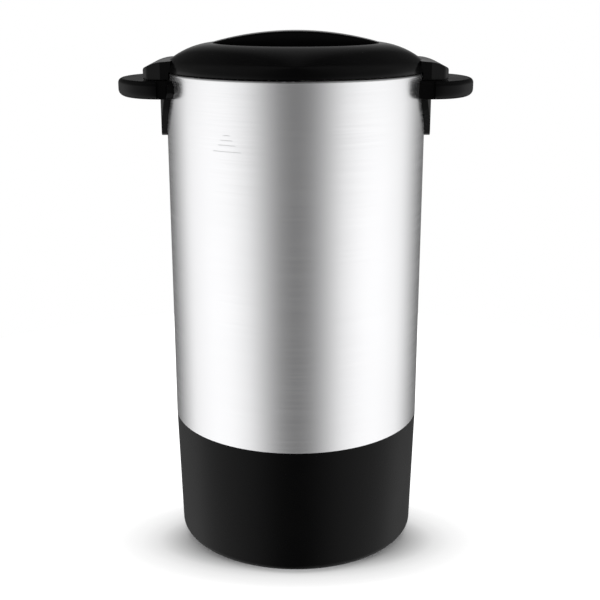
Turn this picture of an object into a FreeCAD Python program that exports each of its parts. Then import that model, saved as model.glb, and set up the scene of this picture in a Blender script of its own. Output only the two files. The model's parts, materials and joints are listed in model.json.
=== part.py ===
"""Percolating coffee urn, as an assembly of separate pieces.

The frame: origin on the urn's axis at the level that it stands on, +Z up, tap and sight gauge
towards -Y, carrying handles towards +X and -X.  All sizes are in millimetres.
"""
import FreeCAD, Part
import math
import os

V = FreeCAD.Vector
UP = V(0, 0, 1)
DOWN = V(0, 0, -1)
FRONT = V(0, -1, 0)
ORIGIN = V(0, 0, 0)

# Driving dimensions of the urn's outline
body_radius = 100.0
foot_height = 2.5
base_height = 102.5
tank_height = 277.7
base_taper = 2.5
base_corner_radius = 5.0

base_foot_radius = body_radius - base_taper
base_bottom = foot_height
seam = base_bottom + base_height
rim = seam + tank_height

# Clearances
seat_gap = 0.3
running_gap = 0.08
screw_gap = 0.05

# Steel tank
tank_wall = 1.0
curl_radius = 2.0
spigot_inset = 3.2
spigot_radius = body_radius - spigot_inset
spigot_depth = 14.0
well_radius = 20.0
well_depth = 14.0
tank_inner = body_radius - tank_wall
tank_floor = seam - spigot_depth + tank_wall
tank_underside = seam - spigot_depth
well_floor = tank_floor - well_depth
well_underside = well_floor - tank_wall
curl_centre_radius = body_radius - curl_radius
curl_top = rim - seat_gap

# Plastic base
base_wall = 3.0
tab_thickness = 3.0
tab_length = 15.0
tab_width = 22.0
weld_nut_height = 5.0
weld_nut_radius = 5.0
tab_top = tank_underside - weld_nut_height
tab_inset = 16.0
tab_circle = body_radius - tab_inset
tab_angles = (30.0, 150.0, 270.0)
post_radius = 4.5
post_inset = 20.0
post_circle = body_radius - post_inset
post_height = 22.0
post_angles = (45.0, 135.0, 225.0, 315.0)

# Bottom cover, feet and screws
cover_thickness = 2.5
cover_recess = 0.8
foot_radius = 9.0
foot_inset = 30.0
foot_circle = body_radius - foot_inset
foot_angles = (0.0, 90.0, 180.0, 270.0)
foot_stem_radius = 4.0
vent_width = 3.0
vent_length = 26.0
vent_circle = 48.0
vent_count = 12
m4_radius = 2.0
m4_head_radius = 3.8
m4_head_height = 2.4

# Heaters under the tank
plate_radius = 62.0
plate_thickness = 4.0
plate_hole_radius = 27.0
element_circle = 45.0
element_radius = 3.6
element_span = 300.0
clamp_thickness = 1.5
clamp_inner = 36.0
clamp_outer = 54.0
stud_radius = 2.0
stud_circle = 57.0
stud_angles = (90.0, 210.0, 330.0)
nut_flats = 7.0
nut_height = 3.2
band_thickness = 2.6
band_height = 10.0
band_screw_rise = 5.2
band_drop = 4.5
thermostat_radius = 8.0
thermostat_height = 7.0
fuse_radius = 2.2
fuse_length = 12.0

# Lid
lid_wall = 2.6
shoulder_inset = 4.8
crest_inset = 16.8
recess_inset = 36.0
recess_slope = 12.0
recess_radius = body_radius - recess_inset
recess_floor_radius = recess_radius - recess_slope
lid_shoulder = ((body_radius - shoulder_inset, 9.2), (body_radius - crest_inset, 15.9), (recess_radius, 20.4))
recess_floor = 1.2
grip_half_width = 12.0
grip_crown = 29.2
grip_end_height = 20.8
grip_wall = 3.0
vent_hole_radius = 1.6
seal_width = 3.2
seal_outer = body_radius - lid_wall - 0.2
seal_inner = seal_outer - seal_width
seal_height = 2.6

# Lid ears and their lugs
ear_length = 14.5
ear_reach = body_radius + ear_length
ear_root_half = 34.0
ear_tip_half = 29.0
ear_corner_radius = 5.0
ear_bottom = -5.2
lug_place = ear_length - 7.0
lug_thickness = 2.2
toe_width = 6.6
lug_inner = body_radius + lug_place - lug_thickness / 2
lug_outer = lug_inner + lug_thickness
toe_inner = body_radius + lug_place - toe_width / 2
toe_outer = toe_inner + toe_width
toe_top = -12.0
toe_bottom = -15.0
lug_half_angle = 4.0
lid_turn_angle = 14.0
lug_slack = 0.5
lug_slack_angle = 1.0

# Carrying handles
handle_top = -5.7
handle_underside = -19.0
handle_stand = 2.0
handle_centre = body_radius + handle_stand
handle_reach = 35.0
handle_half_width = 45.0
handle_top_round = 3.5
handle_bottom_round = 5.0
bracket_thickness = 4.35
bracket_gap = 0.25
catch_roof = 4.6
hollow_stand = 16.5
hollow_start = body_radius + hollow_stand
hollow_wall = 4.2
hollow_top = -10.5
handle_screw_radius = 1.75
handle_screw_head = 3.4
handle_screw_spots = ((-16.0, -25.0), (16.0, -25.0), (0.0, -38.0))
handle_screw_bite = (2.4, 2.4, 3.2)
sealing_washer = 1.2

# Tap
tap_rise = 26.0
tap_z = tank_floor + tap_rise
shank_radius = 8.0
shank_bore = 4.6
shank_inside = 10.0
tap_flange_radius = 13.5
tap_flange_thickness = 3.0
tap_gasket_thickness = 1.6
tap_arm_radius = 8.5
valve_reach = 46.0
valve_y = -(body_radius + valve_reach)
chamber_radius = 11.0
chamber_bore = 8.0
seat_z = tap_z - 8.0
chamber_top = tap_z + 16.0
spout_radius = 7.5
spout_bore = 5.0
spout_drop = 19.0
spout_z = seat_z - spout_drop
tap_nut_flats = 22.0
tap_nut_thickness = 5.0
bonnet_radius = 13.0
bonnet_top = chamber_top + 9.0
bonnet_overlap = 7.0
bonnet_plate = 4.0
bonnet_rib_count = 16
stem_radius = 2.0
plunger_flange_radius = 6.0
tap_seal_radius = 7.0
tap_seal_height = 4.0
spring_wire = 0.6
spring_radius = 4.4
lever_offset = 6.0
lever_pivot_y = valve_y - lever_offset
lever_pivot_z = bonnet_top + 9.5
lever_pin_radius = 1.6
lever_hub_radius = 4.4
lever_half_width = 4.5
lever_length = 33.0
lever_tilt = 18.0
lever_angle = 30.0
lever_ear = 2.4
cross_pin_radius = 1.3
cross_slot = 0.4

# Sight gauge
gauge_y = -(body_radius + 13.0)
glass_radius = 5.5
glass_wall = 1.5
collar_radius = 8.8
collar_top = tap_z + 18.0
gauge_socket = tap_z + 6.5
gauge_seal_wall = 0.8
gauge_cap_bottom = rim - 38.0
gauge_cap_height = 20.0
gauge_cap_radius = 9.6
guard_radius = 8.8
guard_wall = 0.8
guard_open_angle = 84.0
gauge_screw_z = gauge_cap_bottom + 13.0

# Base controls
control_z = base_bottom + 50.0
switch_width = 24.0
switch_height = 32.0
bezel_thickness = 2.2
bezel_border = 4.0
rocker_depth = 5.0
rocker_throw = 18.0
rocker_pin_radius = 1.3
lens_radius = 4.0
lens_offset = 24.0
lamp_radius = 2.6
inlet_angle = 50.0
inlet_width = 36.0
inlet_height = 26.0
inlet_depth = 20.0
inlet_border = 5.0
inlet_pin_radius = 2.0
inlet_pin_pitch = 13.0
inlet_wall = 2.0

# Percolator
tube_radius = 5.0
tube_wall = 0.8
tube_top = rim - 28.0
foot_disc_radius = 17.0
foot_disc_height = 8.0
pump_valve_radius = 7.0
pump_valve_thickness = 1.0
pump_valve_travel = 2.5
basket_radius = 70.0
basket_height = 62.0
basket_wall = 0.8
basket_top = rim - 46.0
basket_bottom = basket_top - basket_height
basket_hole_radius = 1.6
basket_hole_counts = (8, 14)
basket_hole_circles = (24.0, 48.0)
cover_hole_counts = (6, 10)
cover_hole_circles = (18.0, 42.0)
stop_radius = 9.0
stop_height = 4.0


def cylinder(radius, bottom, top, x=0.0, y=0.0):
    return Part.makeCylinder(radius, top - bottom, V(x, y, bottom))


def tube(outer, inner, bottom, top, x=0.0, y=0.0):
    return cylinder(outer, bottom, top, x, y).cut(cylinder(inner, bottom, top, x, y))


def rod(radius, start, direction, length):
    return Part.makeCylinder(radius, length, start, direction)


def box(low, high):
    return Part.makeBox(high[0] - low[0], high[1] - low[1], high[2] - low[2], V(*low))


def outline(points):
    """Closed wire through points; a point followed by 'arc' is the middle of an arc."""
    edges = []
    index = 0
    closed = list(points) + [points[0]]
    while index < len(closed) - 1:
        here = closed[index]
        after = closed[index + 1]
        if len(after) == 4:
            edges.append(Part.Arc(here_vector(here), V(*after[:3]), here_vector(closed[index + 2])).toShape())
            index += 2
        else:
            edges.append(Part.LineSegment(here_vector(here), here_vector(after)).toShape())
            index += 1
    return Part.Wire(edges)


def here_vector(point):
    return V(point[0], point[1], point[2])


def turned(points):
    """Solid of revolution about Z of a closed outline of (radius, z), arcs marked 'arc'."""
    spatial = [(p[0], 0.0, p[1]) + tuple(p[2:]) for p in points]
    face = Part.Face(outline(spatial))
    return face.revolve(ORIGIN, UP, 360)


def sector(inner, outer, bottom, top, start, end):
    """Ring section between two angles in degrees, counted from +X."""
    face = Part.Face(outline([(inner, 0, bottom), (outer, 0, bottom), (outer, 0, top), (inner, 0, top)]))
    solid = face.revolve(ORIGIN, UP, end - start)
    solid.rotate(ORIGIN, UP, start)
    return solid


def prism(points, direction):
    return Part.Face(outline(points)).extrude(direction)


def spun(shape, angle, axis=UP, centre=ORIGIN):
    copy = shape.copy()
    copy.rotate(centre, axis, angle)
    return copy


def around(shape, angles):
    return [spun(shape, angle) for angle in angles]


def group(shapes):
    solids = []
    for shape in shapes:
        solids.extend(shape.Solids)
    return Part.makeCompound(solids)


def united(first, *others):
    return first.multiFuse(list(others)).removeSplitter()


def hexagon(flats, thickness, centre, direction):
    """Hexagonal prism standing on centre along direction."""
    corner = flats / math.sqrt(3)
    points = [V(corner * math.cos(math.radians(a)), corner * math.sin(math.radians(a)), 0)
              for a in range(0, 361, 60)]
    solid = Part.Face(Part.makePolygon(points)).extrude(V(0, 0, thickness))
    solid.Placement = FreeCAD.Placement(centre, FreeCAD.Rotation(UP, direction))
    return solid


def screw(radius, head_radius, head_height, length, seat, direction):
    """Pan-head screw whose head stands on seat, with its shank along direction."""
    land = head_radius * 0.6
    profile = [(0, -head_height), (land, -head_height), (head_radius, -head_height * 0.4), (head_radius, 0),
               (radius, 0), (radius, length), (0, length)]
    solid = turned(profile)
    solid.Placement = FreeCAD.Placement(seat, FreeCAD.Rotation(UP, direction))
    return solid


def edges_where(shape, test):
    return [edge for edge in shape.Edges if test(edge)]


def level_edges(shape, z, tolerance=0.02):
    """Edges of the shape that lie level at height z."""
    return edges_where(shape, lambda e: abs(e.BoundBox.ZMin - z) < tolerance and abs(e.BoundBox.ZMax - z) < tolerance)


def base_profile(inset):
    """Outer outline of the base, drawn in by an inset, closed on the axis."""
    foot = base_foot_radius - inset
    corner = base_corner_radius
    slant = math.sqrt(0.5) * corner
    return [(0, base_bottom), (foot - corner, base_bottom),
            (foot - corner + slant, base_bottom + corner - slant, "arc"),
            (foot, base_bottom + corner), (body_radius - inset, seam), (0, seam)]


def make_tank():
    """Drawn vessel: curled rim, straight wall, necked spigot, flat floor and heating well."""
    floor_round = 5.0
    outer = body_radius
    inner = tank_inner
    neck = spigot_radius
    wall = tank_wall
    bend = math.sqrt(0.5)
    curl_z = curl_top - curl_radius
    points = [
        (outer, seam), (outer, curl_z),
        (curl_centre_radius + curl_radius * bend, curl_z + curl_radius * bend, "arc"),
        (curl_centre_radius, curl_top),
        (curl_centre_radius - curl_radius * bend, curl_z + curl_radius * bend, "arc"),
        (curl_centre_radius - curl_radius, curl_z),
        (curl_centre_radius - curl_radius + wall * 0.8, curl_z),
        (curl_centre_radius, curl_top - wall, "arc"),
        (inner, curl_z), (inner, seam + wall), (neck - wall, seam + wall),
        (neck - wall, tank_floor + floor_round),
        (neck - wall - floor_round * (1 - bend), tank_floor + floor_round * (1 - bend), "arc"),
        (neck - wall - floor_round, tank_floor),
        (well_radius + 2, tank_floor), (well_radius, tank_floor - 2),
        (well_radius - 1, well_floor), (0, well_floor), (0, well_underside),
        (well_radius, well_underside), (well_radius + wall, tank_floor - 2 - wall * 0.4),
        (well_radius + 2 + wall * 0.4, tank_underside),
        (neck - floor_round - wall, tank_underside),
        (neck - (floor_round + wall) * (1 - bend), tank_underside + (floor_round + wall) * (1 - bend), "arc"),
        (neck, tank_floor + floor_round), (neck, seam)]
    vessel = turned(points)
    holes = [rod(shank_radius + running_gap, V(0, -tank_inner + 5, tap_z), FRONT, 12)]
    holes.append(rod(m4_radius + screw_gap, V(0, -tank_inner + 5, gauge_screw_z), FRONT, 12))
    for side in (0, 180):
        for across, drop in handle_screw_spots:
            hole = rod(handle_screw_radius + screw_gap, V(tank_inner - 6, across, rim + drop), V(1, 0, 0), 12)
            holes.append(spun(hole, side))
    return vessel.cut(holes)


def make_weld_studs():
    """Threaded studs welded under the tank floor, which hold the heater clamp."""
    length = plate_thickness + element_radius + clamp_thickness + nut_height + 2
    stud = cylinder(stud_radius, tank_underside - length, tank_underside, x=stud_circle)
    return group(around(stud, stud_angles))


def make_weld_nuts():
    """Round weld nuts under the tank floor, which the base is screwed to."""
    nut = tube(weld_nut_radius, m4_radius + screw_gap, tab_top, tank_underside, x=tab_circle)
    return group(around(nut, tab_angles))


def make_base():
    """Moulded skirt with ledge tabs for the tank and ribbed posts for the bottom cover."""
    outer = turned(base_profile(0))
    inner = turned(base_profile(base_wall))
    inner = inner.fuse(cylinder(base_foot_radius - base_corner_radius - 0.5, base_bottom - 1, base_bottom + 12))
    shell = outer.cut(inner)
    neck = cylinder(spigot_radius + running_gap, seam - spigot_depth - 2, seam + 1)
    collar = tube(body_radius - base_wall + 1, spigot_radius + running_gap, seam - 10, seam - 0.5)
    shell = united(shell, collar.common(outer)).cut(neck)
    parts = []
    tab = box((tab_circle - tab_length / 2, -tab_width / 2, tab_top - tab_thickness),
              (body_radius, tab_width / 2, tab_top))
    web_points = [(tab_circle + 6, -1.5, tab_top - tab_thickness), (body_radius, -1.5, tab_top - tab_thickness),
                  (body_radius, -1.5, tab_top - 30)]
    web = prism(web_points, V(0, 3, 0))
    parts.extend(around(united(tab, web), tab_angles))
    post_bottom = base_bottom + cover_recess + cover_thickness
    post = cylinder(post_radius, post_bottom, post_bottom + post_height, x=post_circle)
    rib = box((post_circle, -1.2, post_bottom + 3), (body_radius, 1.2, post_bottom + post_height))
    parts.extend(around(united(post, rib), post_angles))
    inner_posts = [part.common(turned(base_profile(base_wall * 0.5))) for part in parts]
    shell = shell.multiFuse(inner_posts).removeSplitter()
    cuts = around(cylinder(m4_radius + screw_gap, tab_top - 6, tab_top + 1, x=tab_circle), tab_angles)
    pilot = cylinder(m4_radius + screw_gap, post_bottom - 1, post_bottom + 14, x=post_circle)
    cuts.extend(around(pilot, post_angles))
    cuts.append(switch_space())
    cuts.append(inlet_space())
    for side in (-1, 1):
        lens_hole = rod(lens_radius + screw_gap, V(side * lens_offset, 20 - body_radius, control_z), FRONT, 30)
        cuts.append(lens_hole)
    for side in (-1, 1):
        spot = V(side * (inlet_width / 2 - inlet_border / 2), 15 - body_radius, control_z)
        cuts.append(spun(rod(1.3 + screw_gap, spot, FRONT, 20), inlet_angle))
    return shell.cut(cuts)


def switch_space():
    half = switch_width / 2 - bezel_border + 2
    tall = switch_height / 2 - bezel_border + 2
    return box((-half - screw_gap, -body_radius - 10, control_z - tall - screw_gap),
               (half + screw_gap, 20 - body_radius, control_z + tall + screw_gap))


def inlet_space():
    half = inlet_width / 2 - inlet_border + screw_gap
    tall = inlet_height / 2 - 3 + screw_gap
    low = (-half, -body_radius - 10, control_z - tall)
    return spun(box(low, (half, 20 - body_radius, control_z + tall)), inlet_angle)


def make_bottom_cover():
    """Pressed steel disc with vent slots, holes for its screws and for the feet."""
    bottom = base_bottom + cover_recess
    radius = base_foot_radius - base_corner_radius - 0.5 - seat_gap
    disc = cylinder(radius, bottom, bottom + cover_thickness)
    cuts = around(cylinder(m4_radius + 0.3, bottom - 1, bottom + 5, x=post_circle), post_angles)
    cuts.extend(around(cylinder(foot_stem_radius + screw_gap, bottom - 1, bottom + 5, x=foot_circle), foot_angles))
    half = vent_length / 2 - vent_width / 2
    slot = united(box((vent_circle - half, -vent_width / 2, bottom - 1),
                      (vent_circle + half, vent_width / 2, bottom + 5)),
                  cylinder(vent_width / 2, bottom - 1, bottom + 5, x=vent_circle - half),
                  cylinder(vent_width / 2, bottom - 1, bottom + 5, x=vent_circle + half))
    step = 360.0 / vent_count
    cuts.extend(around(slot, [step * (index + 0.5) for index in range(vent_count)]))
    return disc.cut(cuts)


def make_feet():
    """Rubber feet whose stems plug into the bottom cover."""
    cover_bottom = base_bottom + cover_recess
    cover_top = cover_bottom + cover_thickness
    profile = [(0, 0), (foot_radius - 1, 0), (foot_radius, 1), (foot_radius - 1, cover_bottom),
               (foot_stem_radius, cover_bottom), (foot_stem_radius, cover_top + 0.1),
               (foot_stem_radius + 1.2, cover_top + 0.1), (foot_stem_radius - 0.8, cover_top + 4),
               (0, cover_top + 4)]
    foot = turned(profile)
    foot.translate(V(foot_circle, 0, 0))
    return group(around(foot, foot_angles))


def make_cover_screws():
    seat = V(post_circle, 0, base_bottom + cover_recess)
    one = screw(m4_radius, m4_head_radius, 0.9 * foot_height * 0.8, 14, seat, UP)
    return group(around(one, post_angles))


def make_base_screws():
    seat = V(tab_circle, 0, tab_top - tab_thickness)
    one = screw(m4_radius, m4_head_radius, m4_head_height, tab_thickness + weld_nut_height - 0.5, seat, UP)
    return group(around(one, tab_angles))


def element_height():
    return tank_underside - plate_thickness


def make_heater_plate():
    """Aluminium spreader plate with a half-round groove for the brewing element."""
    plate = tube(plate_radius, plate_hole_radius, tank_underside - plate_thickness, tank_underside)
    groove = Part.makeTorus(element_circle, element_radius + screw_gap, V(0, 0, element_height()), UP)
    holes = around(cylinder(stud_radius + 0.3, tank_underside - 10, tank_underside + 1, x=stud_circle), stud_angles)
    return plate.cut([groove] + holes)


def make_brew_element():
    """Sheathed heating element: most of a ring, with its two cold ends turned down."""
    ring = Part.makeTorus(element_circle, element_radius, ORIGIN, UP, -180, 180, element_span)
    ring.rotate(ORIGIN, UP, (360 - element_span) / 2 - 90)
    ring.translate(V(0, 0, element_height()))
    ends = []
    for side in (-1, 1):
        angle = math.radians(side * (360 - element_span) / 2 - 90)
        x = element_circle * math.cos(angle)
        y = element_circle * math.sin(angle)
        knee = Part.makeSphere(element_radius, V(x, y, element_height()))
        ends.append(knee)
        ends.append(cylinder(element_radius, element_height() - 14, element_height(), x, y))
        ends.append(cylinder(1.2, element_height() - 22, element_height() - 14, x, y))
    return united(ring, *ends)


def make_heater_clamp():
    """Pressed ring that holds the element up against its plate, with three stud lugs."""
    top = element_height() - element_radius
    ring = tube(clamp_outer, clamp_inner, top - clamp_thickness, top)
    lug = cylinder(6.0, top - clamp_thickness, top, x=stud_circle)
    parts = united(ring, *around(lug, stud_angles))
    gap = sector(clamp_inner - 1, clamp_outer - 2, top - 3, top + 1, -90 - 38, -90 + 38)
    holes = around(cylinder(stud_radius + 0.3, top - 5, top + 1, x=stud_circle), stud_angles)
    return parts.cut([gap] + holes)


def make_clamp_nuts():
    top = element_height() - element_radius - clamp_thickness
    nut = hexagon(nut_flats, nut_height, V(stud_circle, 0, top - nut_height), UP)
    nut = nut.cut(cylinder(stud_radius + screw_gap, top - 5, top + 1, x=stud_circle))
    return group(around(nut, stud_angles))


def make_warm_band():
    """Split band heater round the heating well, with its clamping ears."""
    top = tank_underside - band_drop
    inner = well_radius + tank_wall + 0.2
    band = tube(inner + band_thickness, inner, top - band_height, top)
    ears = box((-3.4, inner + 0.5, top - band_height), (3.4, inner + 7.6, top))
    split = box((-1.2, inner - 2, top - band_height - 1), (1.2, inner + 9, top + 1))
    bolt_hole = rod(1.3, V(-5, inner + band_screw_rise, top - band_height / 2), V(1, 0, 0), 10)
    return united(band, ears).cut([split, bolt_hole])


def make_band_screw():
    inner = well_radius + tank_wall + 0.2
    height = tank_underside - band_drop - band_height / 2
    seat = V(-3.4, inner + band_screw_rise, height)
    return screw(1.25, 1.9, 1.6, 8.5, seat, V(1, 0, 0))


def make_thermostat():
    """Snap-disc thermostat under the well, with its flange and two blades."""
    body = cylinder(thermostat_radius, well_underside - thermostat_height, well_underside)
    flange = cylinder(thermostat_radius + 2, well_underside - 2.2, well_underside - 0.6)
    blades = []
    for side in (-1, 1):
        low = well_underside - thermostat_height - 6
        blades.append(box((side * 4.5 - 0.4, -3, low), (side * 4.5 + 0.4, 3, low + 6.5)))
    return united(body, flange, *blades)


def make_thermostat_clip():
    """Bent strip that presses the thermostat up against the well."""
    top = element_height() - element_radius - clamp_thickness
    height = well_underside - 2.2
    reach = clamp_inner + 5
    strips = []
    for side in (-1, 1):
        flat = box((-4, side * (thermostat_radius + 1) - 0.8, height - 1), (4, side * (thermostat_radius + 1) + 0.8, height))
        low, high = sorted((side * (thermostat_radius + 0.4), side * reach))
        arm = box((-4, low, height - 1), (4, high, height))
        low, high = sorted((side * (reach - 1), side * reach))
        riser = box((-4, low, height - 1), (4, high, top))
        low, high = sorted((side * (reach - 1), side * (reach + 7)))
        foot = box((-4, low, top - 1), (4, high, top))
        strips.append(united(flat, arm, riser, foot))
    yoke = tube(thermostat_radius + 2, thermostat_radius + 0.2, height - 1, height)
    return united(yoke, *strips)


def make_thermal_fuse():
    """Fuse can in a sleeve under the clamp ring."""
    top = element_height() - element_radius - clamp_thickness
    centre = V(45, -fuse_length / 2, top - fuse_radius - 0.8)
    along = V(0, 1, 0)
    can = rod(fuse_radius, centre, along, fuse_length)
    tail = rod(0.7, centre - along * 6, along, fuse_length + 12)
    return united(can, tail)


def make_fuse_clip():
    """Saddle clip that holds the fuse under the clamp ring."""
    top = element_height() - element_radius - clamp_thickness
    z = top - fuse_radius - 0.8
    saddle = rod(fuse_radius + 0.8, V(45, -3, z), V(0, 1, 0), 6)
    feet = box((45 - 8, -3, top - 0.8), (45 + 8, 3, top))
    bore = rod(fuse_radius + screw_gap, V(45, -4, z), V(0, 1, 0), 8)
    return united(saddle, feet).cut(bore)


def front_block(half_width, low_z, high_z, depth, skin):
    """Block let into the base's front, with a face that stands skin proud of the wall."""
    block = box((-half_width, -body_radius - skin - 2, low_z), (half_width, -body_radius + depth, high_z))
    return block.common(turned(base_profile(-skin)))


def make_switch_bezel():
    """Switch housing: a frame on the wall, a box behind it and bearings for the rocker."""
    half = switch_width / 2
    tall = switch_height / 2
    frame = front_block(half, control_z - tall, control_z + tall, 0.0, bezel_thickness)
    frame = frame.cut(turned(base_profile(0)))
    space = switch_space().BoundBox
    body = box((space.XMin + screw_gap, -body_radius - 0.2, space.ZMin + screw_gap),
               (space.XMax - screw_gap, -body_radius + 24, space.ZMax - screw_gap))
    wall = 1.6
    rocker_space = box((space.XMin + wall, -body_radius - 5, space.ZMin + wall),
                       (space.XMax - wall, -body_radius + 11, space.ZMax - wall))
    pivot = rocker_pivot()
    bearing = rod(rocker_pin_radius + running_gap, V(-half, pivot.y, pivot.z), V(1, 0, 0), switch_width)
    blades = []
    for index in (-1, 0, 1):
        blades.append(box((-3, -body_radius + 24, control_z + index * 7 - 0.4),
                          (3, -body_radius + 31, control_z + index * 7 + 0.4)))
    keep = box((-half, -body_radius - 5, control_z - tall), (half, -body_radius + 40, control_z + tall))
    return united(frame, body.common(keep), *blades).cut([rocker_space, bearing])


def rocker_pivot():
    return V(0, -body_radius + 2.0, control_z)


def make_rocker():
    """Rocker at rest in its off position, with its two pivot pins."""
    space = switch_space().BoundBox
    half = (space.XMax - 1.6) - 0.5
    tall = (space.ZMax - control_z) - 1.6 - 1.0
    pivot = rocker_pivot()
    face = pivot.y - rocker_depth
    points = [(-half, face, control_z - tall), (-half, face + 1.6, control_z, "arc"), (-half, face, control_z + tall),
              (-half, pivot.y + 1.5, control_z + tall * 0.9), (-half, pivot.y + 3.0, control_z),
              (-half, pivot.y + 1.5, control_z - tall * 0.9)]
    paddle = prism(points, V(2 * half, 0, 0))
    pin_length = 2 * (space.XMax - 0.3)
    pin = rod(rocker_pin_radius, V(-pin_length / 2, pivot.y, pivot.z), V(1, 0, 0), pin_length)
    solid = united(paddle, pin)
    return spun(solid, -rocker_throw / 2, V(1, 0, 0), pivot)


def make_lenses():
    """Two domed indicator lenses pressed into the base's front."""
    lenses = []
    for side in (-1, 1):
        x = side * lens_offset
        surface = -math.sqrt((body_radius - 1.2) ** 2 - x ** 2)
        stem = rod(lens_radius, V(x, surface + 6, control_z), FRONT, 8.2)
        dome = Part.makeSphere(6.0, V(x, surface + 2.2, control_z))
        dome = dome.common(rod(lens_radius, V(x, surface, control_z), FRONT, 6))
        flange = rod(lens_radius + 1.2, V(x, surface + 6, control_z), FRONT, 1.0)
        lenses.append(united(stem, dome, flange))
    return group(lenses)


def make_lamps():
    """Neon lamps behind the lenses."""
    lamps = []
    for side in (-1, 1):
        x = side * lens_offset
        start = -math.sqrt((body_radius - 1.2) ** 2 - x ** 2) + 6 + seat_gap
        bulb = rod(lamp_radius, V(x, start, control_z), V(0, 1, 0), 12)
        bulb = bulb.fuse(Part.makeSphere(lamp_radius, V(x, start + 12, control_z)))
        lamps.append(bulb.removeSplitter())
    return group(lamps)


def make_inlet():
    """Recessed two-pin power inlet on the side of the base."""
    half = inlet_width / 2
    tall = inlet_height / 2
    flange = front_block(half, control_z - tall, control_z + tall, 0.0, 2.0)
    flange = flange.cut(turned(base_profile(0)))
    half_body = half - inlet_border
    tall_body = tall - 3
    body = box((-half_body, -body_radius - 0.2, control_z - tall_body),
               (half_body, -body_radius + inlet_depth, control_z + tall_body))
    recess = box((-half_body + inlet_wall, -body_radius - 5, control_z - tall_body + inlet_wall),
                 (half_body - inlet_wall, -body_radius + inlet_depth - 3, control_z + tall_body - inlet_wall))
    holes = []
    for side in (-1, 1):
        holes.append(rod(inlet_pin_radius + screw_gap, V(side * inlet_pin_pitch / 2, -body_radius + 10, control_z),
                         V(0, 1, 0), 20))
        holes.append(rod(1.3 + screw_gap, V(side * (half - inlet_border / 2), -body_radius + 10, control_z), FRONT, 20))
    solid = united(flange, body).cut([recess] + holes)
    return spun(solid, inlet_angle)


def make_inlet_pins():
    pins = []
    for side in (-1, 1):
        start = V(side * inlet_pin_pitch / 2, -body_radius + inlet_depth + 5, control_z)
        length = inlet_depth + 2
        pin = rod(inlet_pin_radius, start, FRONT, length)
        tip = Part.makeSphere(inlet_pin_radius, start + FRONT * length)
        pins.append(spun(pin.fuse(tip).removeSplitter(), inlet_angle))
    return group(pins)


def make_inlet_screws():
    screws = []
    for side in (-1, 1):
        x = side * (inlet_width / 2 - inlet_border / 2)
        surface = -math.sqrt((body_radius - 1.2 + 2.0) ** 2 - x ** 2)
        seat = V(x, surface + 0.1, control_z)
        one = screw(1.3, 2.2, 1.2, 8, seat, V(0, 1, 0))
        screws.append(spun(one, inlet_angle))
    return group(screws)


def make_terminal_block():
    """Three-way ceramic terminal block on the bottom cover."""
    bottom = base_bottom + cover_recess + cover_thickness
    low = (-18, 8, bottom)
    block = box(low, (18, 22, bottom + 13))
    grooves = []
    for index in (-1, 0, 1):
        grooves.append(cylinder(2.6, bottom + 8, bottom + 14, x=index * 11.0, y=15))
        grooves.append(rod(1.8, V(index * 11.0, 7, bottom + 5), V(0, 1, 0), 16))
    for index in (-0.5, 0.5):
        grooves.append(box((index * 11.0 - 0.8, 7, bottom + 9), (index * 11.0 + 0.8, 23, bottom + 14)))
    return block.cut(grooves)


def bent_wire(points, radius):
    """Round lead along straight runs joined by tangent arcs."""
    route = [V(*point) for point in points]
    edges = []
    last = route[0]
    for index in range(1, len(route) - 1):
        corner = route[index]
        back = route[index - 1] - corner
        ahead = route[index + 1] - corner
        shorter = min(back.Length, ahead.Length)
        set_back = 0.45 * shorter
        back.normalize()
        ahead.normalize()
        start = corner + back * set_back
        end = corner + ahead * set_back
        half = back.getAngle(ahead) / 2
        bend = set_back * math.tan(half)
        bisector = back + ahead
        bisector.normalize()
        middle = corner + bisector * (bend / math.sin(half) - bend)
        edges.append(Part.LineSegment(last, start).toShape())
        edges.append(Part.Arc(start, middle, end).toShape())
        last = end
    edges.append(Part.LineSegment(last, route[-1]).toShape())
    path = Part.Wire(edges)
    along = route[1] - route[0]
    ring = Part.Wire(Part.makeCircle(radius, route[0], along))
    return path.makePipeShell([ring], True, False)


def make_leads():
    """Insulated leads between inlet, switch, terminal block and heaters."""
    bottom = base_bottom + cover_recess + cover_thickness
    element_x = element_circle * math.sin(math.radians((360 - element_span) / 2))
    element_y = -element_circle * math.cos(math.radians((360 - element_span) / 2))
    cold = element_height() - 22
    inlet_back = spun_point(V(0, -body_radius + inlet_depth + 6, control_z), inlet_angle)
    blade = well_underside - thermostat_height - 6.0
    routes = [
        [(0, -body_radius + 31.5, control_z - 7), (0, -56, control_z - 8), (0, -38, control_z - 22),
         (0, -14, bottom + 10), (0, 9.5, bottom + 5)],
        [(inlet_back.x - 3, inlet_back.y + 4, control_z), (44, -40, control_z - 6), (30, -20, control_z - 26),
         (14, -6, bottom + 8), (11, 9.5, bottom + 5)],
        [(element_x, element_y, cold - 0.5), (element_x, element_y + 1, cold - 12), (14, -23, cold - 16),
         (5, -5, blade - 14), (4.5, 0, blade - 0.9)],
        [(-element_x, element_y, cold - 0.5), (-element_x, element_y - 1, cold - 14), (-18, -20, control_z - 22),
         (-12, -6, bottom + 9), (-11, 9.5, bottom + 5)]]
    return group([bent_wire(route, 1.4) for route in routes])


def spun_point(point, angle):
    turn = FreeCAD.Rotation(UP, angle)
    return turn.multVec(point)


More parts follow.
